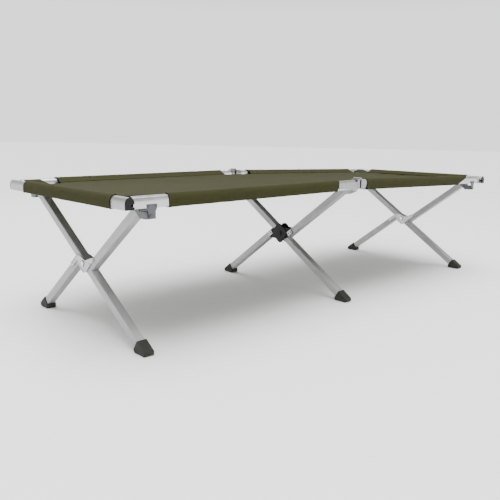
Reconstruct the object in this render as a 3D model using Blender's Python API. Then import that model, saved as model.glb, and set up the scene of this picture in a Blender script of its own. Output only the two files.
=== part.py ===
"""Folding cot: two rails with a centre hinge, two end bars, three crossed leg pairs, fabric bed.

Metres, +Z up. +X runs along the cot, +Y from the front rail to the back rail.
Each half of the cot is built straight in its own frame, whose origin is on the centre hinge's
axis, and hangs from an empty there that tilts it by BEND, so the rails bow up in the middle.
In that frame z is 0 on the hinge axis, and x is negative in the left half.
"""

import math

import bmesh
import bpy
from mathutils import Matrix, Vector

# overall sizes
LENGTH = 1.90
WIDTH = 0.70
HINGE_Z = 0.4445            # height of the centre hinge's axis
BEND = math.radians(0.75)   # how far each half slopes down from the centre

# rail and end bar profile: flat bottom, straight sides, round top
PROFILE_W = 0.026
PROFILE_H = 0.031
PROFILE_WALL = 0.0018
SPRING = 0.48               # share of the height where the round top starts
RAIL_Y = 0.327              # rail centre, from the middle of the cot
RAIL_Z = -0.020             # rail centre, below the hinge axis
RAIL_END = 0.004            # rail end, from the hinge axis
BAR_X = LENGTH / 2 - PROFILE_W / 2
BAR_TUBE = WIDTH - 0.006    # end bar without its plugs
SLOT_Z = -0.0055            # end bar's slot, below the profile's middle
SLOT_H = 0.0076

# legs: rectangular tube, wide in the plane of the pair
LEG_W = 0.025
LEG_D = 0.0260
LEG_WALL = 0.0016
PAIR_X = (-0.872, -0.030, 0.856)
CROSS_Z = -0.2317           # crossing pin
PIVOT = Vector((0.2985, -0.0385))   # leg top pin of the back rail, (y, z)
STEP = 0.0262               # leg B's halves lie this far to each side of the crossing
TOP_OVER = 0.0085           # leg tube past its top pin

# fits
GAP = 0.0003
PLATE = 0.0020
PIN_R = 0.0040
TOP_PIN_R = 0.0032
SWING_Z = -0.0555           # swing pin of an end pair's bracket
SWING_R = 0.0038

# fabric
CLOTH = 0.0015
CLOTH_GAP = 0.0004
PANEL_TOP = -0.0165
PANEL_THICK = 0.0023
PANEL_Y = 0.3115

STEEL = "steel"
ALU = "aluminium"
MATERIALS = {
    ALU: ((0.62, 0.63, 0.64), 0.32, 1.0),
    "bracket": ((0.45, 0.47, 0.50), 0.38, 1.0),
    STEEL: ((0.50, 0.50, 0.51), 0.30, 1.0),
    "plastic": ((0.020, 0.020, 0.020), 0.45, 0.0),
    "rubber": ((0.045, 0.046, 0.040), 0.70, 0.0),
    "cloth": ((0.105, 0.100, 0.062), 0.85, 0.0),
}


# ---------------------------------------------------------------- scene and mesh helpers

def clear_scene():
    for o in list(bpy.data.objects):
        bpy.data.objects.remove(o, do_unlink=True)


def make_material(node, kind):
    """One Principled material for each node."""
    colour, rough, metal = MATERIALS[kind]
    m = bpy.data.materials.new(node)
    m.use_nodes = True
    b = m.node_tree.nodes["Principled BSDF"]
    b.inputs["Base Color"].default_value = (*colour, 1.0)
    b.inputs["Roughness"].default_value = rough
    b.inputs["Metallic"].default_value = metal
    m.diffuse_color = (*colour, 1.0)
    return m


def add(name, bm, kind, half, origin=(0.0, 0.0, 0.0)):
    """An object of half's frame, with its own origin at a joint's axis where it has one."""
    origin = Vector(origin)
    bmesh.ops.translate(bm, verts=bm.verts, vec=-origin)
    bmesh.ops.recalc_face_normals(bm, faces=bm.faces)
    mesh = bpy.data.meshes.new(name)
    bm.to_mesh(mesh)
    bm.free()
    o = bpy.data.objects.new(name, mesh)
    bpy.context.scene.collection.objects.link(o)
    o.parent = half
    o.location = origin
    if kind:
        mesh.materials.append(make_material(name, kind))
    return o


def helper(name, bm, half):
    """A hidden solid that a Boolean uses."""
    o = add(name, bm, None, half)
    o.hide_render = True
    o.display_type = "WIRE"
    return o


def boolean(o, other, operation):
    m = o.modifiers.new(operation.lower(), "BOOLEAN")
    m.operation = operation
    m.object = other
    m.solver = "EXACT"
    return o


def place(plane, a, b, c):
    """A point from its two outline coordinates and its place along the extrusion."""
    return {"YZ": (c, a, b), "XZ": (a, c, b), "XY": (a, b, c)}[plane]


def prism(bm, plane, outline, lo, hi):
    """A closed outline extruded from lo to hi."""
    ends = [[bm.verts.new(place(plane, a, b, c)) for a, b in outline] for c in (lo, hi)]
    n = len(outline)
    for end in ends:
        bm.faces.new(end)
    for i in range(n):
        j = (i + 1) % n
        bm.faces.new((ends[0][i], ends[0][j], ends[1][j], ends[1][i]))
    return bm


def ring(bm, plane, outer, inner, lo, hi):
    """A tube between two outlines with the same number of points."""
    loops = [
        [bm.verts.new(place(plane, a, b, c)) for a, b in outline]
        for outline, c in ((outer, lo), (outer, hi), (inner, hi), (inner, lo))
    ]
    n = len(outer)
    for k in range(4):
        one, two = loops[k], loops[(k + 1) % 4]
        for i in range(n):
            j = (i + 1) % n
            bm.faces.new((one[i], one[j], two[j], two[i]))
    return bm


def circle(a, b, r, n=16, start=0.0, turn=2 * math.pi):
    steps = n if turn == 2 * math.pi else n + 1
    return [
        (a + r * math.cos(start + turn * i / n), b + r * math.sin(start + turn * i / n))
        for i in range(steps)
    ]


def box(x0, x1, z0, z1):
    return [(x0, z0), (x1, z0), (x1, z1), (x0, z1)]


def arch(a, b, inset=0.0, n=12):
    """The profile's outline about (a, b), drawn in by inset or, if it is negative, let out."""
    w, h = PROFILE_W / 2 - inset, PROFILE_H / 2
    spring = -h + PROFILE_H * SPRING
    rise = h - inset - spring
    low = -h + inset
    side = [(a - w, b + low), (a + w, b + low)]
    top = [
        (a + w * math.cos(math.pi * i / n), b + spring + rise * math.sin(math.pi * i / n))
        for i in range(n + 1)
    ]
    return side + top


# ---------------------------------------------------------------- the leg pairs' lines

def leg_angles():
    """Slope of leg A's line, and of leg B's tubes, at rest."""
    rise = PIVOT.y - CROSS_Z
    slope = math.atan2(rise, PIVOT.x)
    reach = math.hypot(rise, PIVOT.x)
    return slope, slope + math.asin(STEP / reach), reach


SLOPE_A, SLOPE_B, REACH = leg_angles()
CROSS = Vector((0.0, CROSS_Z))
DIR_A = Vector((math.cos(SLOPE_A), math.sin(SLOPE_A)))      # up towards the back rail
UP_A = Vector((-DIR_A.y, DIR_A.x))
DIR_B = Vector((-math.cos(SLOPE_B), math.sin(SLOPE_B)))     # up towards the front rail
LOW_B = Vector((-DIR_B.y, DIR_B.x))                         # to leg B's lower side
TOP_B = math.sqrt(REACH ** 2 - STEP ** 2)                   # top pin along leg B


# joint plate of an end pair: along leg B and to its lower side, from the crossing
STEP_PLATE = [(0.064, 0.0145), (0.064, 0.0262), (0.023, 0.0262), (0.001, 0.0300), (-0.016, 0.0235),
              (-0.024, 0.0040), (-0.0285, -0.0255), (-0.068, -0.0255), (-0.068, -0.0380),
              (-0.014, -0.0380), (0.004, -0.0230), (0.020, 0.0020)]
STEP_RIVETS = [(0.033, 0.0200), (0.055, 0.0200), (-0.041, -0.0320), (-0.060, -0.0320)]


def floor_z(x):
    """The floor's height in the frame of the half that x is in."""
    return (-HINGE_Z + abs(x) * math.sin(BEND)) / math.cos(BEND)


def leg_tube(bm, x, start, along, side, t0, t1, lean0=0.0, lean1=0.0):
    """A rectangular tube in the plane of the pair. t0 and t1 are its ends along the leg, and
    each lean is how much an end moves along the leg for each unit to the side."""
    loops = []
    for inset, t, lean in ((0, t0, lean0), (0, t1, lean1),
                           (LEG_WALL, t1, lean1), (LEG_WALL, t0, lean0)):
        w, d, c = LEG_W / 2 - inset, LEG_D / 2 - inset, 0.0018 - inset * 0.6
        section = [(-w, -d + c), (-w, d - c), (-w + c, d), (w - c, d),
                   (w, d - c), (w, -d + c), (w - c, -d), (-w + c, -d)]
        loop = []
        for s, dx in section:
            p = start + along * (t + lean * s) + side * s
            loop.append(bm.verts.new((x + dx, p.x, p.y)))
        loops.append(loop)
    for k in range(4):
        one, two = loops[k], loops[(k + 1) % 4]
        for i in range(8):
            j = (i + 1) % 8
            bm.faces.new((one[i], one[j], two[j], two[i]))
    return bm


def pin_hole(name, x, centre, r, half):
    bm = prism(bmesh.new(), "YZ", circle(centre.x, centre.y, r), x - 0.03, x + 0.03)
    return helper(name, bm, half)


# ---------------------------------------------------------------- legs

def make_leg_a(k, x, half):
    """The straight leg, from the back rail to the front foot."""
    foot = (floor_z(x) - CROSS_Z) / DIR_A.y
    bm = leg_tube(bmesh.new(), x, CROSS, DIR_A, UP_A, foot + 0.030, REACH + TOP_OVER)
    leg = add(f"leg_a_{k}", bm, ALU, half, (x, CROSS.x, CROSS.y))
    boolean(leg, pin_hole(f"cross_hole_{k}", x, CROSS, PIN_R + GAP, half), "DIFFERENCE")
    boolean(leg, pin_hole(f"top_hole_a_{k}", x, PIVOT, TOP_PIN_R + GAP, half), "DIFFERENCE")


def make_leg_b(k, x, half):
    """The stepped leg: two tubes to each side of leg A, from the front rail to the back foot."""
    turn = SLOPE_A + SLOPE_B
    lean = 1.0 / math.tan(turn)                 # ends cut along leg A's edges
    near = (LEG_W / 2) / math.sin(turn) + 0.0012
    low = CROSS + LOW_B * STEP
    bm = leg_tube(bmesh.new(), x, low, DIR_B, LOW_B,
                  near + lean * STEP, TOP_B + TOP_OVER, lean0=lean)
    upper = add(f"leg_b_upper_{k}", bm, ALU, half, (x, CROSS.x, CROSS.y))
    mirror = Vector((-PIVOT.x, PIVOT.y))
    boolean(upper, pin_hole(f"top_hole_b_{k}", x, mirror, TOP_PIN_R + GAP, half), "DIFFERENCE")

    high = CROSS - LOW_B * STEP
    foot = (floor_z(x) - high.y) / DIR_B.y
    bm = leg_tube(bmesh.new(), x, high, DIR_B, LOW_B,
                  foot + 0.030, -near - lean * STEP, lean1=lean)
    add(f"leg_b_lower_{k}", bm, ALU, half, (x, CROSS.x, CROSS.y))


def plate_outline(t_end, w_in, w_out):
    """Joint plate that steps across the crossing, in leg B's directions, as (y, z)."""
    half = [(t_end, w_in), (t_end, w_out), (0.34 * t_end, w_out), (-0.015, 0.020)]
    pts = half + [(-t, -n) for t, n in half]
    return [tuple(CROSS + DIR_B * t + LOW_B * n) for t, n in pts]


def make_joint_plates(k, x, half):
    """A plate on each face of leg B's two tubes, with leg A and the crossing pin between them."""
    middle = k == 2
    thick = 0.0050 if middle else PLATE
    for side, sign in (("l", -1), ("r", 1)):
        face = LEG_D / 2 + GAP
        lo, hi = sorted((x + sign * face, x + sign * (face + thick)))
        if middle:
            outline = []
            for i in range(20):
                a = 2 * math.pi * i / 20
                r = 0.034 + 0.004 * math.cos(4 * a + 0.6)
                outline.append((CROSS.x + r * math.cos(a), CROSS.y + r * math.sin(a)))
            bm = prism(bmesh.new(), "YZ", outline, lo, hi)
            kind = "plastic"
        else:
            corners = [tuple(CROSS + DIR_B * t + LOW_B * n) for t, n in STEP_PLATE]
            bm = prism(bmesh.new(), "YZ", corners, lo, hi)
            kind = ALU
        plate = add(f"joint_plate_{k}_{side}", bm, kind, half, (x, CROSS.x, CROSS.y))
        if middle:
            arms = bmesh.new()
            prism(arms, "YZ", plate_outline(0.060, 0.0165, 0.0355), *sorted(
                (x + sign * face, x + sign * (face + PLATE))))
            boolean(plate, helper(f"hub_arms_{side}", arms, half), "UNION")
        else:
            heads = bmesh.new()
            for t, n in STEP_RIVETS:
                p = CROSS + DIR_B * t + LOW_B * n
                prism(heads, "YZ", circle(p.x, p.y, 0.0030, 10), *sorted(
                    (x + sign * (face + PLATE * 0.5), x + sign * (face + PLATE + 0.0014))))
            boolean(plate, helper(f"plate_rivets_{k}_{side}", heads, half), "UNION")
        boolean(plate, bpy.data.objects[f"cross_hole_{k}"], "DIFFERENCE")


def make_cross_pin(k, x, half):
    middle = k == 2
    reach = LEG_D / 2 + GAP + (0.0050 if middle else PLATE)
    head, rise = (0.0105, 0.0032) if middle else (0.0078, 0.0024)
    bm = prism(bmesh.new(), "YZ", circle(CROSS.x, CROSS.y, PIN_R), x - reach - 0.001, x + reach + 0.001)
    pin = add(f"cross_pin_{k}", bm, "plastic" if middle else STEEL, half, (x, CROSS.x, CROSS.y))
    caps = bmesh.new()
    for s in (-1, 1):
        prism(caps, "YZ", circle(CROSS.x, CROSS.y, head), *sorted(
            (x + s * (reach + GAP), x + s * (reach + GAP + rise))))
    boolean(pin, helper(f"cross_caps_{k}", caps, half), "UNION")


def make_foot(name, x, start, along, up, half):
    """Rubber cup over a leg's end, flat on the floor. along points up the leg."""
    floor = floor_z(x)
    t = (floor - start.y) / along.y
    foot = start + along * t                    # the leg's line meets the floor
    out = -1.0 if along.x > 0 else 1.0          # which way the foot points in y
    w, d = LEG_W / 2 + 0.0030, LEG_D / 2 + 0.0032
    top = foot + along * 0.045
    upper, lower = top + up * w, top - up * w
    toe = foot + along * 0.002 + up * w
    outline = [
        tuple(upper), tuple(lower),
        (lower.x + out * 0.0005, floor + 0.0050), (lower.x + out * 0.0025, floor + 0.0012),
        (lower.x + out * 0.0060, floor), (foot.x + out * 0.0020, floor),
        (foot.x + out * 0.0080, floor + 0.0030), (toe.x, toe.y - 0.0010),
    ]
    bm = prism(bmesh.new(), "YZ", outline, x - d, x + d)
    for v in bm.verts:
        if v.co.z < floor + 0.006:              # level sole, whatever the half's tilt
            v.co.z += floor_z(v.co.x) - floor
    cup = add(name, bm, "rubber", half, (x, foot.x, foot.y))
    bevel = cup.modifiers.new("edges", "BEVEL")
    bevel.width = 0.0022
    bevel.segments = 2
    bevel.limit_method = "ANGLE"
    bevel.angle_limit = math.radians(50)
    pocket = bmesh.new()
    w, d = LEG_W / 2 + GAP, LEG_D / 2 + GAP
    corners = [foot + along * a + up * b for a, b in
               ((0.0285, -w), (0.0285, w), (0.080, w), (0.080, -w))]
    prism(pocket, "YZ", [tuple(c) for c in corners], x - d, x + d)
    boolean(cup, helper(f"{name}_pocket", pocket, half), "DIFFERENCE")


def make_pair(k, x, half):
    make_leg_a(k, x, half)
    make_leg_b(k, x, half)
    make_joint_plates(k, x, half)
    make_cross_pin(k, x, half)
    make_foot(f"foot_a_{k}", x, CROSS, DIR_A, UP_A, half)
    make_foot(f"foot_b_{k}", x, CROSS - LOW_B * STEP, DIR_B, -LOW_B, half)


# ---------------------------------------------------------------- brackets under the rails

def rail_side(back):
    """The rail's y, and which way is outward."""
    return (RAIL_Y, 1.0) if back else (-RAIL_Y, -1.0)


def make_bracket(k, x, half, back, fixed):
    """Fork that holds a leg's top pin. The end pairs' forks swing on a pin under the rail,
    and the middle pair's are fixed to the rail."""
    name = f"bracket_{'back' if back else 'front'}_{k}"
    ry, out = rail_side(back)
    pivot = Vector((PIVOT.x if back else -PIVOT.x, PIVOT.y))
    reach = LEG_D / 2 + GAP + PLATE

    def at(dy, dz):                 # outward from the rail's middle, up from it
        return (ry + out * dy, RAIL_Z + dz)

    arc = [(-0.0285 + 0.011 * math.cos(a), -0.0185 + 0.011 * math.sin(a))
           for a in (math.radians(21 + 229 * i / 12) for i in range(13))]
    top = -0.0255
    foot = [(-0.0140, -0.0435), (0.0125, -0.0435), (0.0125, top), (-0.0148, top)]
    if fixed:
        foot = [(-0.0150, -0.0350), (0.0040, -0.0270), (0.0125, -0.0215), (0.0125, -0.0158),
                (-0.0126, -0.0158), (-0.0155, -0.0185)]
    outline = [at(a, b) for a, b in foot + arc]
    bm = prism(bmesh.new(), "YZ", outline, x - reach, x + reach)
    origin = (x, ry, SWING_Z) if not fixed else (x, pivot.x, pivot.y)
    fork = add(name, bm, "bracket", half, origin)
    d = LEG_D / 2 + GAP
    slot = bmesh.new()
    prism(slot, "YZ", [at(a, b) for a, b in (
        (-0.0620, -0.0600), (-0.0118, -0.0600), (-0.0118, 0.0), (-0.0620, 0.0))],
        x - d, x + d)
    boolean(fork, helper(f"{name}_slot", slot, half), "DIFFERENCE")
    if fixed:
        strap = bmesh.new()
        wing = 0.043 if back else 0.093
        prism(strap, "XZ", [(x - wing + 0.004, RAIL_Z + 0.009), (x - wing, RAIL_Z + 0.003),
                            (x - wing + 0.006, RAIL_Z - 0.010), (x - 0.0180, RAIL_Z - 0.0150),
                            (x - 0.0140, RAIL_Z - 0.0215), (x + 0.0125, RAIL_Z - 0.0215),
                            (x + 0.0125, RAIL_Z + 0.009)],
              *sorted((ry + out * 0.0124, ry + out * 0.0154)))
        clear = bmesh.new()
        prism(clear, "XZ", box(x - 0.11, x + 0.03, RAIL_Z - 0.0157, RAIL_Z + 0.02),
              *sorted((ry, ry + out * (PROFILE_W / 2 + GAP))))
        plate = helper(f"{name}_strap", strap, half)
        boolean(plate, helper(f"{name}_clear", clear, half), "DIFFERENCE")
        boolean(fork, plate, "UNION")
    else:
        hole = bmesh.new()
        prism(hole, "XZ", circle(x, SWING_Z, SWING_R + GAP), *sorted((ry - out * 0.012, ry + out * 0.02)))
        boolean(fork, helper(f"{name}_hole", hole, half), "DIFFERENCE")
    pin = bmesh.new()
    prism(pin, "YZ", circle(pivot.x, pivot.y, TOP_PIN_R, 14), x - reach - 0.0005, x + reach + 0.0005)
    boolean(fork, helper(f"{name}_pin", pin, half), "UNION")
    caps = bmesh.new()
    for s in (-1, 1):
        prism(caps, "YZ", circle(pivot.x, pivot.y, 0.0056, 14),
              *sorted((x + s * (reach - 0.0004), x + s * (reach + 0.0018))))
    boolean(fork, helper(f"{name}_caps", caps, half), "UNION")


def make_hanger(k, x, half, back):
    """Cheek riveted to the rail's outer side, with the swing pin that an end pair hangs from."""
    name = f"hanger_{'back' if back else 'front'}_{k}"
    ry, out = rail_side(back)
    inner = 1.0 if x < 0 else -1.0              # towards the middle of the cot
    y0, y1 = sorted((ry + out * (PROFILE_W / 2 + GAP), ry + out * (PROFILE_W / 2 + GAP + PLATE)))
    boss = circle(x, SWING_Z, 0.0078, 8, math.pi + 0.35, math.pi - 0.7)
    wide, narrow = x + inner * 0.018, x - inner * 0.011
    sides = [(max(wide, narrow), RAIL_Z - 0.0145), (max(wide, narrow), RAIL_Z - 0.0055),
             (min(wide, narrow), RAIL_Z - 0.0055), (min(wide, narrow), RAIL_Z - 0.0145)]
    bm = prism(bmesh.new(), "XZ", boss + sides, y0, y1)
    cheek = add(name, bm, "bracket", half, (x, ry, SWING_Z))
    pin = bmesh.new()
    prism(pin, "XZ", circle(x, SWING_Z, SWING_R, 14),
          *sorted((ry - out * 0.0112, ry + out * (PROFILE_W / 2 + PLATE * 0.5))))
    boolean(cheek, helper(f"{name}_pin", pin, half), "UNION")
    heads = bmesh.new()
    face = PROFILE_W / 2 + GAP + PLATE
    for hx, hz, r in ((x, SWING_Z, 0.0052), (x + inner * 0.013, RAIL_Z - 0.0100, 0.0026),
                      (x - inner * 0.006, RAIL_Z - 0.0100, 0.0026)):
        prism(heads, "XZ", circle(hx, hz, r, 12),
              *sorted((ry + out * (face - 0.0006), ry + out * (face + 0.0016))))
    boolean(cheek, helper(f"{name}_heads", heads, half), "UNION")


# ---------------------------------------------------------------- rails, hinges, end bars

def side_name(x):
    return "l" if x < 0 else "r"


def make_rail(half, sign, back):
    ry, out = rail_side(back)
    end = BAR_X - PROFILE_W / 2 - 0.0026
    lo, hi = sorted((sign * RAIL_END, sign * end))
    where = f"{'back' if back else 'front'}_{side_name(sign)}"
    bm = ring(bmesh.new(), "YZ", arch(ry, RAIL_Z), arch(ry, RAIL_Z, PROFILE_WALL), lo, hi)
    add(f"rail_{where}", bm, ALU, half)

    lo, hi = sorted((sign * (end + GAP), sign * (end + 0.0020)))
    bm = prism(bmesh.new(), "YZ", arch(ry, RAIL_Z, 0.0002), lo, hi)
    plug = add(f"rail_plug_{where}", bm, "plastic", half)
    inside = bmesh.new()
    prism(inside, "YZ", arch(ry, RAIL_Z, PROFILE_WALL + GAP),
          *sorted((sign * (end - 0.012), sign * (end + 0.001))))
    prism(inside, "YZ", circle(ry, RAIL_Z + SLOT_Z, 0.0030, 12),
          *sorted((sign * (end + 0.0015), sign * (end + 0.0080))))
    boolean(plug, helper(f"rail_plug_{where}_core", inside, half), "UNION")


def make_hinge_leaf(half, sign, back):
    """Saddle over a rail's end, with its knuckles on the hinge axis. The left leaf has two
    outer knuckles and the pin, and the right leaf has the middle one."""
    ry, out = rail_side(back)
    name = f"hinge_{'back' if back else 'front'}_{side_name(sign)}"
    half_w = PROFILE_W / 2 + GAP
    shell = half_w + 0.0020
    top, low = -0.0022, -0.0355
    start, reach = sign * 0.0048, sign * (0.0162 if sign < 0 else 0.036)
    if sign < 0:
        outline = box(reach, start, low, top)
    else:                           # its free end is half an oval
        mid, rise, run = (top + low) / 2, (top - low) / 2, 0.013
        oval = [(reach - run + run * a, mid + rise * b) for a, b in
                circle(0, 0, 1, 10, -math.pi / 2, math.pi)]
        outline = [(start, low)] + oval + [(start, top)]
    leaf = add(name, prism(bmesh.new(), "XZ", outline, ry - shell, ry + shell), "bracket", half)
    knuckles, webs = bmesh.new(), bmesh.new()
    spans = ((-shell, -0.0052), (0.0052, shell)) if sign < 0 else ((-0.0048, 0.0048),)
    for a, b in spans:
        prism(knuckles, "XZ", circle(0, 0, 0.0040, 16), ry + a, ry + b)
        x0, x1 = sorted((sign * 0.0010, sign * 0.0080))
        prism(webs, "XZ", box(x0, x1, -0.0036, top - 0.0002), ry + a, ry + b)
    boolean(leaf, helper(f"{name}_webs", webs, half), "UNION")
    boolean(leaf, helper(f"{name}_knuckles", knuckles, half), "UNION")
    hollow = bmesh.new()
    prism(hollow, "YZ", box(ry - half_w, ry + half_w, low - 0.01, -0.0042), -0.06, 0.06)
    boolean(leaf, helper(f"{name}_hollow", hollow, half), "DIFFERENCE")
    core = bmesh.new()
    if sign < 0:
        prism(core, "XZ", circle(0, 0, 0.0018, 12), ry - shell - 0.0012, ry + shell + 0.0012)
        boolean(leaf, helper(f"{name}_pin", core, half), "UNION")
    else:
        prism(core, "XZ", circle(0, 0, 0.0021, 12), ry - 0.01, ry + 0.01)
        boolean(leaf, helper(f"{name}_hole", core, half), "DIFFERENCE")


def slotted_arch(a, b, inner):
    """The end bar's section: the profile with a slot in its straight side, towards the rails."""
    outer, inside = arch(a, b), arch(a, b, PROFILE_WALL)
    lo, hi = b + SLOT_Z - SLOT_H / 2, b + SLOT_Z + SLOT_H / 2
    if inner > 0:                  # the slotted side is at +w: points 1 and 2 of the outline
        o, i = outer[2:] + outer[:2], inside[2:] + inside[:2]
    else:                          # at -w: the last point and point 0
        o, i = outer, inside
    wo, wi = PROFILE_W / 2, PROFILE_W / 2 - PROFILE_WALL
    if inner > 0:
        start, end = (a + wo, hi), (a + wo, lo)
        back0, back1 = (a + wi, lo), (a + wi, hi)
    else:
        start, end = (a - wo, lo), (a - wo, hi)
        back0, back1 = (a - wi, hi), (a - wi, lo)
    return [start] + o + [end, back0] + i[::-1] + [back1]


def make_end_bar(half, sign):
    x = sign * BAR_X
    s = side_name(sign)
    y = BAR_TUBE / 2
    bm = prism(bmesh.new(), "XZ", slotted_arch(x, RAIL_Z, -sign), -y, y)
    add(f"end_bar_{s}", bm, ALU, half)
    for where, out in (("front", -1.0), ("back", 1.0)):
        name = f"bar_plug_{s}_{where}"
        bm = prism(bmesh.new(), "XZ", arch(x, RAIL_Z, -0.0003), *sorted((out * (y + GAP), out * WIDTH / 2)))
        plug = add(name, bm, "plastic", half)
        bevel = plug.modifiers.new("edges", "BEVEL")
        bevel.width = 0.0008
        bevel.segments = 1
        bevel.limit_method = "ANGLE"
        bevel.angle_limit = math.radians(60)
        core = bmesh.new()
        prism(core, "XZ", box(*sorted((x + sign * 0.0002, x + sign * 0.0085)),
                              RAIL_Z - 0.0125, RAIL_Z + 0.0030),
              *sorted((out * (y - 0.016), out * (y + 0.001))))
        boolean(plug, helper(f"{name}_core", core, half), "UNION")
        notch = bmesh.new()
        prism(notch, "XZ", box(*sorted((x - sign * 0.02, x - sign * 0.0035)),
                               RAIL_Z + SLOT_Z - SLOT_H / 2, RAIL_Z + SLOT_Z + SLOT_H / 2),
              *sorted((out * (y - 0.01), out * (y + 0.01))))
        boolean(plug, helper(f"{name}_notch", notch, half), "DIFFERENCE")


# ---------------------------------------------------------------- fabric

SLEEVES = {("l", False): (0.128, 0.815), ("r", False): (0.038, 0.800),
           ("l", True): (0.076, 0.806), ("r", True): (0.076, 0.812)}
HEMS = {"l": (-0.280, 0.240), "r": (-0.270, 0.262)}


def make_sleeve(half, sign, back):
    s = side_name(sign)
    ry, out = rail_side(back)
    a, b = SLEEVES[(s, back)]
    lo, hi = sorted((sign * a, sign * b))
    bm = ring(bmesh.new(), "YZ", arch(ry, RAIL_Z, -CLOTH_GAP - CLOTH, 10),
              arch(ry, RAIL_Z, -CLOTH_GAP, 10), lo, hi)
    add(f"sleeve_{'back' if back else 'front'}_{s}", bm, "cloth", half)


def make_panel(half, sign):
    """The bed between the rails, with its hem round the end bar."""
    s = side_name(sign)
    y0, y1 = HEMS[s]
    end = BAR_X - 0.0141
    front, back = SLEEVES[(s, False)], SLEEVES[(s, True)]

    def edge(span, y, hem):
        """One long edge from the centre out: hinge notch, straight run, cut-out corner."""
        k = 1.0 if y > 0 else -1.0
        run, cut = abs(y), abs(hem) + 0.002
        return [(0.0010, k * 0.304), (span[0], k * 0.304), (span[0], k * run),
                (span[1], k * run), (span[1] + 0.010, k * (run - 0.35 * (run - cut))),
                (span[1] + 0.040, k * (run - 0.75 * (run - cut))), (end - 0.025, k * cut),
                (end, k * cut)]

    outline = edge(front, -PANEL_Y, y0) + edge(back, PANEL_Y, y1)[::-1]
    bm = prism(bmesh.new(), "XY", [(sign * a, b) for a, b in outline],
               PANEL_TOP - PANEL_THICK, PANEL_TOP)
    panel = add(f"panel_{s}", bm, "cloth", half)
    hem = ring(bmesh.new(), "XZ", arch(sign * BAR_X, RAIL_Z, -CLOTH_GAP - CLOTH, 10),
               arch(sign * BAR_X, RAIL_Z, -CLOTH_GAP, 10), y0, y1)
    boolean(panel, helper(f"panel_{s}_hem", hem, half), "UNION")


# ---------------------------------------------------------------- assembly

def make_half(sign):
    half = bpy.data.objects.new(f"half_{side_name(sign)}", None)
    bpy.context.scene.collection.objects.link(half)
    half.location = (0.0, 0.0, HINGE_Z)
    half.rotation_euler = (0.0, sign * BEND, 0.0)
    return half


def main():
    clear_scene()
    halves = {-1: make_half(-1), 1: make_half(1)}
    for sign, half in halves.items():
        for back in (False, True):
            make_rail(half, sign, back)
            make_hinge_leaf(half, sign, back)
            make_sleeve(half, sign, back)
        make_end_bar(half, sign)
        make_panel(half, sign)
    for k, x in enumerate(PAIR_X, 1):
        half = halves[-1 if x < 0 else 1]
        make_pair(k, x, half)
        for back in (False, True):
            make_bracket(k, x, half, back, fixed=k == 2)
            if k != 2:
                make_hanger(k, x, half, back)


main()
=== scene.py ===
"""Looks of the folding cot: cloth bed, sleeves and hems, and the finish of every metal,
plastic and rubber part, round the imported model."""

import math

import bmesh
import bpy
from mathutils import Matrix, Vector, noise


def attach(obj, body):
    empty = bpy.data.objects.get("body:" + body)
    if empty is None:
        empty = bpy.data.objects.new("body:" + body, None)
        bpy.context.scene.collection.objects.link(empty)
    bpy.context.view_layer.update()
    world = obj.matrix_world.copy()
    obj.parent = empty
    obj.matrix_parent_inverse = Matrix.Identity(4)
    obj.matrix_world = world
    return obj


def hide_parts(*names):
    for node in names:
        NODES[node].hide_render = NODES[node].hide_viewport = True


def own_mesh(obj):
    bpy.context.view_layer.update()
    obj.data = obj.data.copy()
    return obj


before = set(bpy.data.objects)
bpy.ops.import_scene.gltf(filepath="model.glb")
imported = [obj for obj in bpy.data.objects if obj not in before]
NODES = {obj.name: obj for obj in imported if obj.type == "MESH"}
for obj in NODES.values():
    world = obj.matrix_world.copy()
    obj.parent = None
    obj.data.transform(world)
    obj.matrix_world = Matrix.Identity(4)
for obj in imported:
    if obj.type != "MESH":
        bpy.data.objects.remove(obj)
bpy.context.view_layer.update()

# the frame's driving dimensions, metres
HINGE_Z = 0.4445
BEND = math.radians(0.75)
PROFILE_W, PROFILE_H, SPRING = 0.026, 0.031, 0.48
RAIL_Y, RAIL_Z = 0.327, -0.020
BAR_X = 0.937
PAIR_X = (-0.872, -0.030, 0.856)
CROSS = Vector((0.0, -0.2317))
PIVOT = Vector((0.2985, -0.0385))
STEP = 0.0262
LEG_D = 0.0260                # leg tube along the cot
RISE = PIVOT.y - CROSS.y
SLOPE_A = math.atan2(RISE, PIVOT.x)
SLOPE_B = SLOPE_A + math.asin(STEP / math.hypot(RISE, PIVOT.x))
DIR_B = Vector((-math.cos(SLOPE_B), math.sin(SLOPE_B)))
LOW_B = Vector((-DIR_B.y, DIR_B.x))
PLATE_FACE = LEG_D / 2 + 0.0003 + 0.0020      # joint plate's outer face, from the pair's middle

# rims of an end pair's joint plate: along leg B and to its lower side, from the crossing
RIM_LOW = [(0.0625, 0.0252), (0.0230, 0.0252), (0.0012, 0.0288), (-0.0148, 0.0227),
           (-0.0230, 0.0036), (-0.0276, -0.0245), (-0.0670, -0.0245)]
RIM_HIGH = [(-0.0670, -0.0370), (-0.0145, -0.0370), (0.0032, -0.0222), (0.0190, 0.0018),
            (0.0625, 0.0155)]
RIM_HALF, RIM_OVER, RIM_RISE = 0.0009, 0.0004, 0.0017
# the flat dark disc under the crossing pin's head, painted shade round the pin: its radius and
# height
SHADE_DISC_R, SHADE_DISC_RISE = 0.0098, 0.0002
SUNK = 0.0002               # how far a detail starts inside the face it stands on

# hub arm's light plate and its two ribs: t0, t1, n0, n1, and lower and upper face
HUB_STRIP = ((0.0345, 0.0594, 0.0172, 0.0348, 0.0002, 0.0014),
             (0.0370, 0.0575, 0.0190, 0.0218, 0.0010, 0.0024),
             (0.0370, 0.0575, 0.0302, 0.0330, 0.0010, 0.0024))
HUB_RIVETS = (0.0410, 0.0535)

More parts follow.
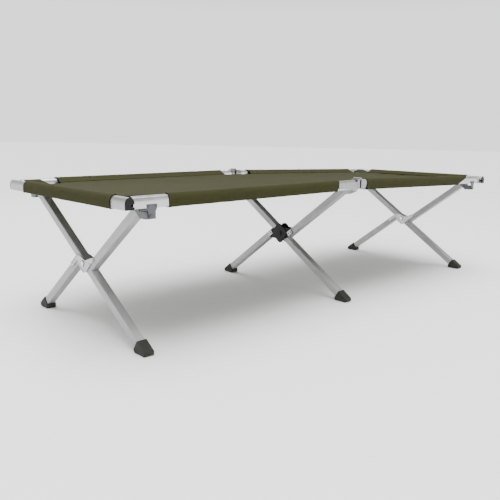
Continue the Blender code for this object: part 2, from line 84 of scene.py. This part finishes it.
# the cloth
CLOTH = 0.0012
OVER = 0.0019               # outer face of a sleeve or hem, from the tube
SAG = 0.0085                # the bed's hollow in the middle
SEAM_Y, SEAM_Z = 0.0330, -0.0178    # the bed's seam, in from the rail's middle and below the hinge
SLEEVES = {("l", False): (0.128, 0.815), ("r", False): (0.038, 0.800),
           ("l", True): (0.076, 0.806), ("r", True): (0.076, 0.812)}
HEMS = {"l": (-0.280, 0.240), "r": (-0.270, 0.262)}
SLIT = 0.00045              # each bed half's edge, from the centre
NOTCH_BACK, NOTCH_DROP = 0.006, 0.0012      # how the bed's edge leaves bare rail at the hinge
CORNER_BACK, CORNER_DROP = 0.014, 0.0020    # and at the corners
CORNER_LONG = 0.046
TAB_BACK, TAB_Z = PROFILE_W / 2 + 0.0016, -0.0052   # the tab beside the rail, next to the hem
BODIES = {("l", False): "front_left", ("r", False): "front_right",
          ("l", True): "back_left", ("r", True): "back_right"}


# ---------------------------------------------------------------- materials

def new_material(name):
    m = bpy.data.materials.new(name)
    m.use_nodes = True
    tree = m.node_tree
    return m, tree, tree.nodes["Principled BSDF"]


def link(tree, a, out, b, socket):
    tree.links.new(a.outputs[out], b.inputs[socket])


def coords(tree, scale=(1, 1, 1), turn=0.0):
    """Object coordinates divided by scale, after undoing a turn about X."""
    tc = tree.nodes.new("ShaderNodeTexCoord")
    mp = tree.nodes.new("ShaderNodeMapping")
    mp.vector_type = "TEXTURE"
    mp.inputs["Rotation"].default_value = (turn, 0, 0)
    mp.inputs["Scale"].default_value = scale
    link(tree, tc, "Object", mp, "Vector")
    return mp


def noise_node(tree, vector, scale, detail=4.0, rough=0.55):
    n = tree.nodes.new("ShaderNodeTexNoise")
    n.inputs["Scale"].default_value = scale
    n.inputs["Detail"].default_value = detail
    n.inputs["Roughness"].default_value = rough
    link(tree, vector, "Vector", n, "Vector")
    return n


def ramp(tree, source, out, low, high, p0=0.3, p1=0.7):
    r = tree.nodes.new("ShaderNodeValToRGB")
    r.color_ramp.elements[0].position = p0
    r.color_ramp.elements[1].position = p1
    r.color_ramp.elements[0].color = low
    r.color_ramp.elements[1].color = high
    link(tree, source, out, r, "Fac")
    return r


def span(tree, source, out, low, high):
    m = tree.nodes.new("ShaderNodeMapRange")
    m.inputs["From Min"].default_value = 0.25
    m.inputs["From Max"].default_value = 0.75
    m.inputs["To Min"].default_value = low
    m.inputs["To Max"].default_value = high
    link(tree, source, out, m, "Value")
    return m


def tone(c, k):
    return (c[0] * k, c[1] * k, c[2] * k, 1.0)


def bump(tree, bsdf, source, out, strength, distance, under=None):
    b = tree.nodes.new("ShaderNodeBump")
    b.inputs["Strength"].default_value = strength
    b.inputs["Distance"].default_value = distance
    link(tree, source, out, b, "Height")
    if under:
        link(tree, under, "Normal", b, "Normal")
    link(tree, b, "Normal", bsdf, "Normal")
    return b


def drawn_metal(name, colour, rough, along, turn=0.0, metallic=1.0):
    """Extruded tube: fine lines along it, and broad patches of duller oxide."""
    m, tree, bsdf = new_material(name)
    scale = tuple(0.35 if axis == along else 0.0014 for axis in "XYZ")
    lines = noise_node(tree, coords(tree, scale, turn), 1.0, 3.0)
    patches = noise_node(tree, coords(tree), 16.0, 5.0)
    tint = ramp(tree, lines, "Fac", tone(colour, 0.90), tone(colour, 1.06))
    dull = ramp(tree, patches, "Fac", (0.90, 0.90, 0.91, 1), (1, 1, 1, 1))
    mix = tree.nodes.new("ShaderNodeMix")
    mix.data_type = "RGBA"
    mix.blend_type = "MULTIPLY"
    mix.inputs["Factor"].default_value = 1.0
    tree.links.new(tint.outputs["Color"], mix.inputs[6])
    tree.links.new(dull.outputs["Color"], mix.inputs[7])
    tree.links.new(mix.outputs[2], bsdf.inputs["Base Color"])
    link(tree, span(tree, patches, "Fac", rough * 0.85, rough * 1.25), "Result", bsdf, "Roughness")
    bsdf.inputs["Metallic"].default_value = metallic
    bump(tree, bsdf, lines, "Fac", 0.12, 0.0002)
    return m


def pressed_metal(name, colour, rough, metallic=1.0):
    """Pressed sheet: fine grain and light scuffs."""
    m, tree, bsdf = new_material(name)
    grain = noise_node(tree, coords(tree), 900.0, 3.0)
    scuffs = noise_node(tree, coords(tree, (0.3, 1.0, 1.0)), 60.0, 6.0, 0.7)
    tint = ramp(tree, scuffs, "Fac", tone(colour, 0.86), tone(colour, 1.08), 0.35, 0.65)
    link(tree, tint, "Color", bsdf, "Base Color")
    link(tree, span(tree, scuffs, "Fac", rough * 1.2, rough * 0.8), "Result", bsdf, "Roughness")
    bsdf.inputs["Metallic"].default_value = metallic
    bump(tree, bsdf, grain, "Fac", 0.10, 0.0002)
    return m


def moulded(name, colour, rough, grain_scale=700.0, strength=0.25):
    """Moulded plastic or rubber: fine texture, with a dusty bloom in patches."""
    m, tree, bsdf = new_material(name)
    grain = noise_node(tree, coords(tree), grain_scale, 2.0)
    bloom = noise_node(tree, coords(tree), 35.0, 6.0, 0.65)
    tint = ramp(tree, bloom, "Fac", tone(colour, 0.82), tone(colour, 1.28), 0.35, 0.75)
    link(tree, tint, "Color", bsdf, "Base Color")
    link(tree, span(tree, bloom, "Fac", rough * 0.9, rough * 1.15), "Result", bsdf, "Roughness")
    bsdf.inputs["Specular IOR Level"].default_value = 0.22
    bump(tree, bsdf, grain, "Fac", strength, 0.0003)
    return m


def woven(name, colour, rough=0.78, dark=0.86):
    """Coated plain weave: threads 1.1 mm apart, slubs along them, and soft worn patches."""
    m, tree, bsdf = new_material(name)
    plain = coords(tree)
    threads = []
    for axis in "XYZ":
        w = tree.nodes.new("ShaderNodeTexWave")
        w.wave_type = "BANDS"
        w.bands_direction = axis
        w.inputs["Scale"].default_value = 285.0
        w.inputs["Distortion"].default_value = 1.2
        w.inputs["Detail"].default_value = 1.0
        link(tree, plain, "Vector", w, "Vector")
        threads.append(w)
    height = threads[0]
    for w in threads[1:]:
        top = tree.nodes.new("ShaderNodeMath")
        top.operation = "ADD"
        out = "Fac" if height.type == "TEX_WAVE" else "Value"
        link(tree, height, out, top, 0)
        link(tree, w, "Fac", top, 1)
        height = top
    slub_x = noise_node(tree, coords(tree, (0.06, 0.0022, 0.0022)), 1.0, 3.0)
    slub_y = noise_node(tree, coords(tree, (0.0022, 0.06, 0.06)), 1.0, 3.0)
    slub = tree.nodes.new("ShaderNodeMath")
    slub.operation = "ADD"
    link(tree, slub_x, "Fac", slub, 0)
    link(tree, slub_y, "Fac", slub, 1)
    half = tree.nodes.new("ShaderNodeMath")
    half.operation = "MULTIPLY"
    half.inputs[1].default_value = 0.5
    link(tree, slub, "Value", half, 0)
    worn = noise_node(tree, coords(tree), 5.0, 5.0, 0.6)
    tint = ramp(tree, half, "Value", tone(colour, dark), tone(colour, 1.12), 0.35, 0.65)
    patch = ramp(tree, worn, "Fac", (0.90, 0.90, 0.92, 1), (1.0, 1.0, 0.98, 1))
    mix = tree.nodes.new("ShaderNodeMix")
    mix.data_type = "RGBA"
    mix.blend_type = "MULTIPLY"
    mix.inputs["Factor"].default_value = 1.0
    tree.links.new(tint.outputs["Color"], mix.inputs[6])
    tree.links.new(patch.outputs["Color"], mix.inputs[7])
    tree.links.new(mix.outputs[2], bsdf.inputs["Base Color"])
    link(tree, span(tree, worn, "Fac", rough * 0.93, rough * 1.06), "Result", bsdf, "Roughness")
    bsdf.inputs["Specular IOR Level"].default_value = 0.10
    weave = bump(tree, bsdf, height, "Value", 0.22, 0.0004)
    bump(tree, bsdf, half, "Value", 0.30, 0.0006, weave)
    return m


# rails and end bars are one aluminium in a lit and a shaded copy: the rails' lighter tone is
# painted light
RAIL_LIT_TONE = (0.66, 0.66, 0.67)
TUBE = (0.47, 0.47, 0.465)
LEG = (0.49, 0.49, 0.49)
# end pairs' brackets and hangers: blue-grey steel, darkened partly as painted shade, a shaded copy
# of the pressed_light steel
PRESSED_SHADED_TONE = (0.115, 0.118, 0.130)
OLIVE = (0.030, 0.0305, 0.0098)

MATERIALS = {
    # the rails' lit copy of the tube aluminium: its lighter tone is painted light
    "tube_x": drawn_metal("tube_x", RAIL_LIT_TONE, 0.26, "X"),
    "tube_y": drawn_metal("tube_y", TUBE, 0.36, "Y"),
    "leg_a": drawn_metal("leg_a", LEG, 0.62, "Y", SLOPE_A),
    "leg_b": drawn_metal("leg_b", LEG, 0.62, "Y", -SLOPE_B),
    # shaded copy of the pressed steel: its dark tone is partly painted shade
    "pressed": pressed_metal("pressed", PRESSED_SHADED_TONE, 0.34),
    "pressed_light": pressed_metal("pressed_light", (0.36, 0.36, 0.37), 0.32),
    "plate": pressed_metal("plate", (0.50, 0.50, 0.50), 0.34),
    "rivet": pressed_metal("rivet", (0.70, 0.70, 0.70), 0.22),
    "plastic": moulded("plastic", (0.006, 0.006, 0.0058), 0.40),
    "rubber": moulded("rubber", (0.022, 0.023, 0.019), 0.62, 400.0, 0.4),
    "cloth": woven("cloth", OLIVE),
    "thread": woven("thread", (0.040, 0.040, 0.018), 0.70),
}


# ---------------------------------------------------------------- mesh helpers

def half_matrix(side):
    turn = -BEND if side == "l" else BEND
    return Matrix.Translation((0, 0, HINGE_Z)) @ Matrix.Rotation(turn, 4, "Y")


def make(name, bm, material, side=None, smooth=40.0):
    """A mesh piece in the row frame, built in one half's frame where side is given."""
    if side:
        bm.transform(half_matrix(side))
    bmesh.ops.recalc_face_normals(bm, faces=bm.faces)
    mesh = bpy.data.meshes.new(name)
    bm.to_mesh(mesh)
    bm.free()
    mesh.polygons.foreach_set("use_smooth", [True] * len(mesh.polygons))
    mesh.set_sharp_from_angle(angle=math.radians(smooth))
    mesh.materials.append(MATERIALS[material])
    o = bpy.data.objects.new(name, mesh)
    bpy.context.scene.collection.objects.link(o)
    return o


def soften(o, width, segments=2, angle=35.0):
    """Rounded edges that catch the light."""
    b = o.modifiers.new("edges", "BEVEL")
    b.width = width
    b.segments = segments
    b.limit_method = "ANGLE"
    b.angle_limit = math.radians(angle)
    b.harden_normals = True
    return o


def sheet_mesh(rows, thick, closed=False):
    """A cloth sheet from a grid of top points, given its thickness downwards along normals."""
    bm = bmesh.new()
    grid = [[bm.verts.new(p) for p in row] for row in rows]
    for a, b in zip(grid, grid[1:]):
        n = len(a) if closed else len(a) - 1
        for i in range(n):
            j = (i + 1) % len(a)
            bm.faces.new((a[i], a[j], b[j], b[i]))
    bmesh.ops.recalc_face_normals(bm, faces=bm.faces)
    bmesh.ops.solidify(bm, geom=bm.faces, thickness=thick)
    return bm


def arch_point(dy, z, out, angle):
    """A point of the round top, at an angle from the level, out from the tube's surface."""
    w, h = PROFILE_W / 2 + out, PROFILE_H / 2
    spring = -h + PROFILE_H * SPRING
    rise = h + out - spring
    return (dy + w * math.cos(angle), z + spring + rise * math.sin(angle))


# ---------------------------------------------------------------- cloth

def ease(k):
    k = max(0.0, min(1.0, k))
    return k * k * (3 - 2 * k)


def edge_of(side, back, u):
    """The bed's edge at distance u from the centre: how far from the rail's middle, and its
    height. It meets a sleeve's seam, backs away from bare rail, and climbs at the corners."""
    a, b = SLEEVES[(side, back)]
    away, height = SEAM_Y, SEAM_Z
    notch = ease((a - u) / 0.014 + 0.5)
    away += notch * NOTCH_BACK
    height -= notch * NOTCH_DROP
    corner = b + CORNER_LONG
    notch = ease((u - b) / 0.012 + 0.5) * (1.0 - ease((u - corner) / 0.016 + 0.5))
    away += notch * CORNER_BACK
    height -= notch * CORNER_DROP
    tab = ease((u - corner) / 0.020 + 0.2)
    away += (TAB_BACK - away) * tab
    height += (TAB_Z - height) * tab
    return away, height


def bed_point(side, u, t):
    """A point of the bed's top, u from the centre and t across it from the front, 0 to 1."""
    front, back = edge_of(side, False, u), edge_of(side, True, u)
    y0, y1 = -RAIL_Y + front[0], RAIL_Y - back[0]
    y = y0 + (y1 - y0) * t
    rim = min(t, 1.0 - t) * (y1 - y0)
    lift = (front[1] if t < 0.5 else back[1]) - SEAM_Z
    base = SEAM_Z + lift * math.exp(-(rim / 0.030) ** 2)
    end = BAR_X - PROFILE_W / 2 - u
    hollow = SAG * (1.0 - abs(2.0 * t - 1.0) ** 2.2) * (1.0 - math.exp(-end / 0.16))
    ripple = 0.0010 * noise.noise(Vector((u * 3.2, y * 5.5, 0.3)))
    pull = 0.0009 * math.sin(y * 58.0 + u * 9.0) * math.exp(-end / 0.07)
    drag = 0.0008 * math.sin(u * 75.0 + y * 12.0) * math.exp(-rim / 0.045)
    inside = 1.0 - math.exp(-rim / 0.02)
    return Vector((0.0, y, base - hollow + (ripple + pull + drag) * inside))


def make_bed(side):
    """The bed panel, between the sleeves' seams and up to the hem's seam."""
    sign = -1 if side == "l" else 1
    inner, outer = SLIT, BAR_X - PROFILE_W / 2 - 0.0015
    nu, ny = 150, 96
    rows = []
    for i in range(nu + 1):
        u = inner + (outer - inner) * i / nu
        row = []
        for j in range(ny + 1):
            p = bed_point(side, u, j / ny)
            row.append((sign * u, p.y, p.z))
        rows.append(row)
    bm = sheet_mesh(rows, -CLOTH if side == "r" else CLOTH)
    return make(f"bed_{side}", bm, "cloth", side, 60.0)


def wrap_section(out, seam_dy, seam_z):
    """Cloth round a tube's profile from the seam, under and over it, and back to the seam."""
    h = PROFILE_H / 2
    w = PROFILE_W / 2
    low = [(seam_dy, seam_z - 0.0014), (-w - 0.0030, -h - out + 0.0050), (-w + 0.0030, -h - out),
           (0.0, -h - out), (w + out - 0.0030, -h - out), (w + out - 0.0008, -h - out + 0.0008),
           (w + out, -h - out + 0.0030)]
    round_top = [arch_point(0, 0, out, math.radians(114 * k / 14)) for k in range(15)]
    x0, z0 = round_top[-1]
    slope = [(x0 + (seam_dy - x0) * k, z0 + (seam_z + CLOTH - z0) * k)
             for k in (0.25, 0.5, 0.75, 1.0)]
    return low + round_top + slope


def make_hem(side):
    """Cloth loop round the end bar, drawn in to the seam with the bed."""
    sign = -1 if side == "l" else 1
    y0, y1 = HEMS[side]
    ny = 96
    rows = []
    for j in range(ny + 1):
        t = j / ny
        y = y0 + (y1 - y0) * t
        near_end = min(t, 1 - t) * ny
        flare = 0.0006 * math.exp(-near_end / 2.0)
        wave = 0.0007 * (0.5 + 0.5 * noise.noise(Vector((0.0, y * 26.0, 3.0 + sign))))
        out = OVER + flare + wave
        section = wrap_section(out, -0.0330, SEAM_Z - RAIL_Z - 0.0010)
        rows.append([(sign * (BAR_X + a), y, RAIL_Z + b) for a, b in section])
    bm = sheet_mesh(rows, CLOTH * (1 if sign < 0 else -1))
    return make(f"hem_{side}", bm, "cloth", side, 50.0)


def make_sleeve(side, back):
    """Cloth sleeve round a rail, drawn in to the seam with the bed."""
    sign = -1 if side == "l" else 1
    out_y = 1.0 if back else -1.0
    a, b = SLEEVES[(side, back)]
    n = 150
    rows = []
    for i in range(n + 1):
        t = i / n
        near_end = min(t, 1 - t) * n
        flare = 0.0007 * math.exp(-near_end / 1.6)
        wave = 0.0008 * (0.5 + 0.5 * noise.noise(Vector((t * 22.0, out_y * 3.0, sign * 5.0))))
        section = wrap_section(OVER + flare + wave, -SEAM_Y, SEAM_Z - RAIL_Z)
        row = []
        for dy, dz in section:
            start, end = a, b
            down = max(0.0, min(1.0, 0.5 - dz / PROFILE_H))
            inside = max(0.0, min(1.0, -dy / SEAM_Y))
            if side == "r" and not back:            # this sleeve's end is cut on a slant
                end = b - 0.085 * down
            if side == "l" and not back:
                start = a - 0.014 * (1.0 - down)
            bite = 0.008 * math.sin(math.pi * min(1.0, inside * 1.2)) * inside
            u = start + bite + (end - start - 2 * bite) * t
            row.append((sign * u, out_y * (RAIL_Y + dy), RAIL_Z + dz))
        rows.append(row)
    bm = sheet_mesh(rows, CLOTH * sign * out_y)
    return make(f"sleeve_{'back' if back else 'front'}_{side}_cloth", bm, "cloth", side, 50.0)


def stitch_row(bm, points, up, length=0.0032, pitch=0.0052, r=0.00042):
    """Lock stitches: short rounded threads standing a little proud along a line of points."""
    total = 0.0
    for p, q in zip(points, points[1:]):
        p, q = Vector(p), Vector(q)
        d = (q - p).length
        along = (q - p).normalized()
        side = along.cross(up).normalized()
        s = -total % pitch
        while s + length < d:
            c0, c1 = p + along * s, p + along * (s + length)
            ring = []
            for c, k in ((c0, 0.35), (c0.lerp(c1, 0.5), 1.0), (c1, 0.35)):
                ring.append([bm.verts.new(c + side * r * x * k + up * (r * z * k)) for x, z in
                             ((1, 0), (0.5, 0.9), (-0.5, 0.9), (-1, 0), (0, -0.8))])
            for one, two in zip(ring, ring[1:]):
                for i in range(5):
                    j = (i + 1) % 5
                    bm.faces.new((one[i], one[j], two[j], two[i]))
            bm.faces.new(ring[0][::-1])
            bm.faces.new(ring[-1])
            s += pitch
        total += d
    return bm


def make_stitches(side):
    """The bed's seams: along both sleeves, the hem and the centre join."""
    sign = -1 if side == "l" else 1
    bm = bmesh.new()
    up = Vector((0, 0, 1))
    width = 2 * (RAIL_Y - SEAM_Y)

    def along(u, t):
        p = bed_point(side, u, t)
        return Vector((sign * u, p.y, p.z + 0.0001))

    for back in (False, True):
        a, b = SLEEVES[(side, back)]
        for inset in (0.004, 0.009):
            t = inset / width if not back else 1.0 - inset / width
            stitch_row(bm, [along(a + 0.006 + (b - a - 0.012) * i / 39, t) for i in range(40)], up)
    y0, y1 = HEMS[side]
    for u in (BAR_X - 0.0400, BAR_X - 0.0450, 0.0080, 0.0130):
        lo, hi = (y0 + 0.004, y1 - 0.004) if u > 0.5 else (-0.45 * width, 0.45 * width)
        stitch_row(bm, [along(u, 0.5 + (lo + (hi - lo) * i / 29) / width) for i in range(30)], up)
    return make(f"stitches_{side}", bm, "thread", side, 60.0)


def cloth():
    for side in "lr":
        body = BODIES[(side, True)]
        bed, hem, thread = make_bed(side), make_hem(side), make_stitches(side)
        for piece in (bed, hem, thread):
            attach(piece, body)
            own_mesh(piece)
        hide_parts(f"panel_{side}")
        for back in (False, True):
            where = "back" if back else "front"
            node = f"sleeve_{where}_{side}"
            sleeve = make_sleeve(side, back)
            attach(sleeve, BODIES[(side, back)])
            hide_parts(node)


# ---------------------------------------------------------------- metal details

def slab(bm, base, side, sign, outline, lo, hi):
    """A flat piece on a joint plate's outer face, from points along leg B and to its side."""
    corners = [CROSS + DIR_B * (sign * t) + LOW_B * (sign * n) for t, n in outline]
    loops = [[bm.verts.new((base + side * h, c.x, c.y)) for c in corners] for h in (lo, hi)]
    bm.faces.new(loops[0])
    bm.faces.new(loops[1])
    for i in range(len(corners)):
        j = (i + 1) % len(corners)
        bm.faces.new((loops[0][i], loops[0][j], loops[1][j], loops[1][i]))


def strip_on_hub(name, sign, side):
    """Light plate over one of the middle hub's arms, with two raised ribs."""
    base = PAIR_X[1] + side * PLATE_FACE
    bm = bmesh.new()
    for t0, t1, n0, n1, lo, hi in HUB_STRIP:
        slab(bm, base, side, sign, [(t0, n0), (t0, n1), (t1, n1), (t1, n0)], lo, hi)
    o = make(name, bm, "plate", "l", 30.0)
    soften(o, 0.0005)
    return o


def plate_details(k, half, body):
    """An end pair's joint plates: folded-up rims along their edges, and a flat dark disc under the
    crossing pin's head, painted shade round the pin."""
    x = PAIR_X[k - 1]
    for side, tag in ((-1, "l"), (1, "r")):
        base = x + side * PLATE_FACE
        rims, ring = bmesh.new(), bmesh.new()
        for path in (RIM_LOW, RIM_HIGH):
            for (t0, n0), (t1, n1) in zip(path, path[1:]):
                along = (Vector((t1, n1)) - Vector((t0, n0))).normalized()
                wide = Vector((-along.y, along.x)) * RIM_HALF
                a = Vector((t0, n0)) - along * RIM_OVER
                b = Vector((t1, n1)) + along * RIM_OVER
                slab(rims, base, side, 1, [tuple(a - wide), tuple(a + wide), tuple(b + wide),
                                           tuple(b - wide)], -SUNK, RIM_RISE)
        rim = make(f"plate_rims_{k}_{tag}", rims, "plate", half, 30.0)
        # a flat dark disc under the pin's head: painted shade round the pin
        circle = [(SHADE_DISC_R * math.cos(a), SHADE_DISC_R * math.sin(a))
                  for a in (2 * math.pi * i / 28 for i in range(28))]
        slab(ring, base, side, 1, circle, -SUNK, SHADE_DISC_RISE)
        shade_disc = make(f"pin_shade_disc_{k}_{tag}", ring, "plastic", half, 30.0)
        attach(rim, body)
        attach(shade_disc, body)


def rivet_cap(bm, centre, axis, r, rise):
    """A domed rivet head standing on a face along axis."""
    turn = Vector((0, 0, 1)).rotation_difference(axis).to_matrix().to_4x4()
    rings = []
    for k in range(4):
        a = math.radians(28 * k)
        rings.append([bm.verts.new(centre + (turn @ Vector((
            r * math.cos(a) * math.cos(t), r * math.cos(a) * math.sin(t), rise * math.sin(a)))))
            for t in (2 * math.pi * i / 16 for i in range(16))])
    for one, two in zip(rings, rings[1:]):
        for i in range(16):
            j = (i + 1) % 16
            bm.faces.new((one[i], one[j], two[j], two[i]))
    bm.faces.new(rings[-1])
    bm.faces.new(rings[0][::-1])


def hub_details():
    """Light plates and dark rivets on the arms of the middle pair's hub."""
    x = PAIR_X[1]
    for face, tag in ((-1, "l"), (1, "r")):
        for sign, where in ((1, "upper"), (-1, "lower")):
            strip = strip_on_hub(f"hub_strip_{tag}_{where}", sign, face)
            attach(strip, "leg_b_mid")
        bm = bmesh.new()
        base = x + face * (PLATE_FACE + 0.0012)     # just inside the light plate's face
        for sign in (1, -1):
            for t in HUB_RIVETS:
                c = CROSS + DIR_B * (sign * t) + LOW_B * (sign * STEP)
                rivet_cap(bm, Vector((base, c.x, c.y)), Vector((face, 0, 0)), 0.0030, 0.0016)
        rivets = make(f"hub_rivets_{tag}", bm, "plastic", "l")
        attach(rivets, "leg_b_mid")


# ---------------------------------------------------------------- finishes of the CAD parts

FINISH = [
    ("rail_plug", "plastic", 0.0006), ("bar_plug", "plastic", 0.0006), ("rail_", "tube_x", 0.0),
    ("end_bar", "tube_y", 0.0), ("leg_a", "leg_a", 0.0), ("leg_b", "leg_b", 0.0),
    ("joint_plate_2", "plastic", 0.0010), ("joint_plate", "plate", 0.0005),
    ("cross_pin_2", "plastic", 0.0008), ("cross_pin", "rivet", 0.0008),
    ("bracket_front_2", "pressed_light", 0.0007), ("bracket_back_2", "pressed_light", 0.0007),
    # end pairs' brackets and hangers take the shaded copy of the pressed steel: painted shade
    ("foot", "rubber", 0.0009), ("bracket", "pressed", 0.0007), ("hanger", "pressed", 0.0006),
    ("hinge", "pressed_light", 0.0006),
]


def finish_nodes():
    for name, o in NODES.items():
        for prefix, material, edge in FINISH:
            if name.startswith(prefix):
                o.data.materials.clear()
                o.data.materials.append(MATERIALS[material])
                o.data.polygons.foreach_set("use_smooth", [True] * len(o.data.polygons))
                o.data.set_sharp_from_angle(angle=math.radians(32))
                if edge:
                    soften(o, edge)
                break


# ---------------------------------------------------------------- floor, light and camera

SKY = 7.5                           # strength of the soft box overhead
HORIZON, DIM = 0.22, 0.085          # the horizon's share of it, and the ring's between them
FLOOR_RADIUS, FLOOR_DROP = 60.0, 0.0005


def studio():
    """A wide pale floor under a soft box, with a pale horizon and a dim ring between them."""
    bm = bmesh.new()
    n = 64
    turns = [2 * math.pi * i / n for i in range(n)]
    bm.faces.new([bm.verts.new((FLOOR_RADIUS * math.cos(a), FLOOR_RADIUS * math.sin(a), 0))
                  for a in turns])
    m, tree, bsdf = new_material("floor")
    bsdf.inputs["Base Color"].default_value = (0.90, 0.90, 0.90, 1)
    bsdf.inputs["Roughness"].default_value = 0.8
    MATERIALS["floor"] = m
    floor = make("floor", bm, "floor")
    floor.location.z = -FLOOR_DROP

    world = bpy.data.worlds.new("studio")
    bpy.context.scene.world = world
    world.use_nodes = True
    tree = world.node_tree
    back = tree.nodes["Background"]
    way = tree.nodes.new("ShaderNodeTexCoord")
    parts = tree.nodes.new("ShaderNodeSeparateXYZ")
    link(tree, way, "Generated", parts, "Vector")
    sky = tree.nodes.new("ShaderNodeValToRGB")       # pale horizon, dim sky, soft box overhead
    stops = sky.color_ramp
    for place, k in ((0.34, DIM), (0.84, DIM), (0.93, 1.0)):
        stops.elements.new(place).color = (k, k, k, 1)
    stops.elements[0].color = (HORIZON,) * 3 + (1,)
    stops.elements[0].position = 0.20
    stops.elements[-1].color = (1, 1, 1, 1)
    link(tree, parts, "Z", sky, "Fac")
    link(tree, sky, "Color", back, "Color")
    back.inputs["Strength"].default_value = SKY

    def area(name, place, aim, size, power):
        data = bpy.data.lights.new(name, "AREA")
        data.size = size
        data.energy = power
        lamp = bpy.data.objects.new(name, data)
        bpy.context.scene.collection.objects.link(lamp)
        lamp.location = place
        lamp.rotation_euler = (Vector(aim) - Vector(place)).to_track_quat("-Z", "Y").to_euler()

    area("key", (-1.6, -1.2, 3.4), (0, 0, 0.3), 2.2, 70.0)
    area("fill", (2.4, -2.6, 1.6), (0.2, 0, 0.3), 1.8, 16.0)
    area("rim", (0.4, 3.0, 2.6), (0, 0, 0.3), 2.4, 24.0)


def camera():
    """The photograph's viewpoint, fitted to the rails, bars, crossings and feet."""
    azimuth, elevation, roll = 0.7628, -0.1877, 0.0206
    forward = Vector((math.sin(azimuth) * math.cos(elevation),
                      math.cos(azimuth) * math.cos(elevation), math.sin(elevation)))
    level = Vector((math.cos(azimuth), -math.sin(azimuth), 0))
    up = level.cross(forward)
    right = level * math.cos(roll) + up * math.sin(roll)
    above = up * math.cos(roll) - level * math.sin(roll)
    data = bpy.data.cameras.new("camera")
    data.lens = 41.37
    cam = bpy.data.objects.new("camera", data)
    turn = Matrix((right, above, -forward)).transposed().to_4x4()
    cam.matrix_world = Matrix.Translation((-1.6735, -1.5392, 0.5665)) @ turn
    bpy.context.scene.collection.objects.link(cam)
    bpy.context.scene.camera = cam


camera()
studio()
cloth()
hub_details()
plate_details(1, "l", "leg_b_left")
plate_details(3, "r", "leg_b_right")
finish_nodes()
